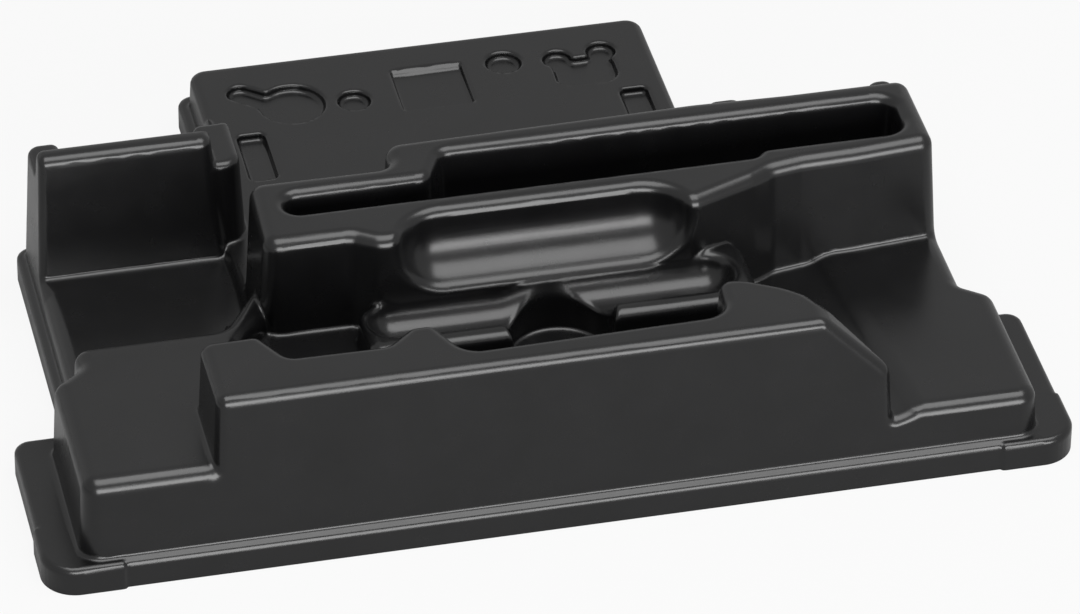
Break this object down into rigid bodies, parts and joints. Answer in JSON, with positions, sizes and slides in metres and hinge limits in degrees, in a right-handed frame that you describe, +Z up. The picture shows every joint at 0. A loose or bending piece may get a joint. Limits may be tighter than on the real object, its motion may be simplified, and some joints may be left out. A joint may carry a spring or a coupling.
{
  "type": "tool case insert",
  "caption": "Moulded plastic tray for a tool case: low shelves, tall blocks that hold a tool between them, a long slot and a rear panel with recesses.",
  "frame": {"origin": "middle of the footprint, on the surface that the skirt stands on", "axes": "+X along the long side, to the right seen from the front; +Y from the long front skirt to the rear panel; +Z up"},
  "size_m": [0.377, 0.281, 0.0715],
  "materials": {
    "plastic": "satin black, with a fine even grain"
  },
  "bodies": {
    "root": {"insert": "plastic"}
  },
  "joints": []
}
